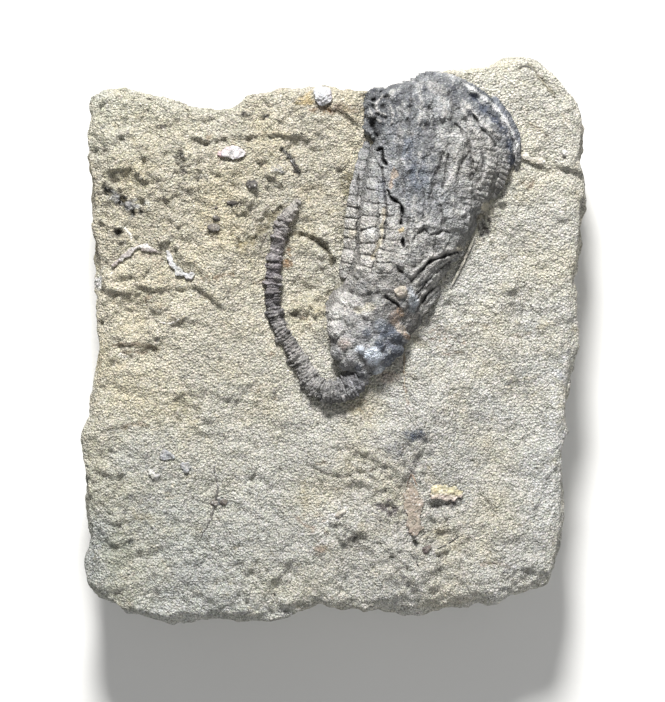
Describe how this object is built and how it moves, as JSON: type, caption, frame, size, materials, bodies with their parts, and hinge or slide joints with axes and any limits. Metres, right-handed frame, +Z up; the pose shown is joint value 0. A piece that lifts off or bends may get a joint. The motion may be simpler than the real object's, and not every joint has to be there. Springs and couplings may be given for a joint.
{
  "type": "crinoid fossil on a stone slab",
  "caption": "Sea lily fossil with a fan of jointed arms, a plated cup and a hooked stem, in relief on a rough squarish slab of pale siltstone.",
  "frame": {"origin": "centre of the bounding box on the flat underside", "axes": "+Z up out of the fossil face, +Y towards the edge that the arms reach, +X to the right seen from above"},
  "size_m": [0.0898, 0.102, 0.0264],
  "materials": {
    "siltstone": "rough sandy stone, stands in for siltstone",
    "crinoid_calcite": "weathered grey calcite with pale and dark mottling",
    "stem_calcite": "dark brown-grey ribbed calcite",
    "shell_calcite": "whitish calcite",
    "stained_shell": "iron-stained shell"
  },
  "bodies": {
    "root": {"matrix_slab": "siltstone", "cup": "crinoid_calcite", "stem": "stem_calcite", "arm_left_outer": "crinoid_calcite", "arm_left_inner": "crinoid_calcite", "arm_middle_left": "crinoid_calcite", "arm_centre_a": "crinoid_calcite", "arm_centre_b": "crinoid_calcite", "arm_centre_c": "crinoid_calcite", "arm_right_a": "crinoid_calcite", "arm_right_b": "crinoid_calcite", "arm_right_c": "crinoid_calcite", "arm_right_outer": "crinoid_calcite", "arm_folded_upper": "crinoid_calcite", "arm_folded_lower": "crinoid_calcite", "arm_broken_tip": "crinoid_calcite", "shell_edge_left": "shell_calcite", "shell_edge_right": "shell_calcite", "shell_edge_crown": "shell_calcite", "spine": "shell_calcite", "ossicle_top": "shell_calcite", "ossicle_oval": "shell_calcite", "ossicle_small": "shell_calcite", "ossicle_low_a": "shell_calcite", "ossicle_low_b": "shell_calcite", "ossicle_low_c": "shell_calcite", "plate_fragment": "stained_shell", "shell_wedge": "stained_shell"}
  },
  "joints": []
}
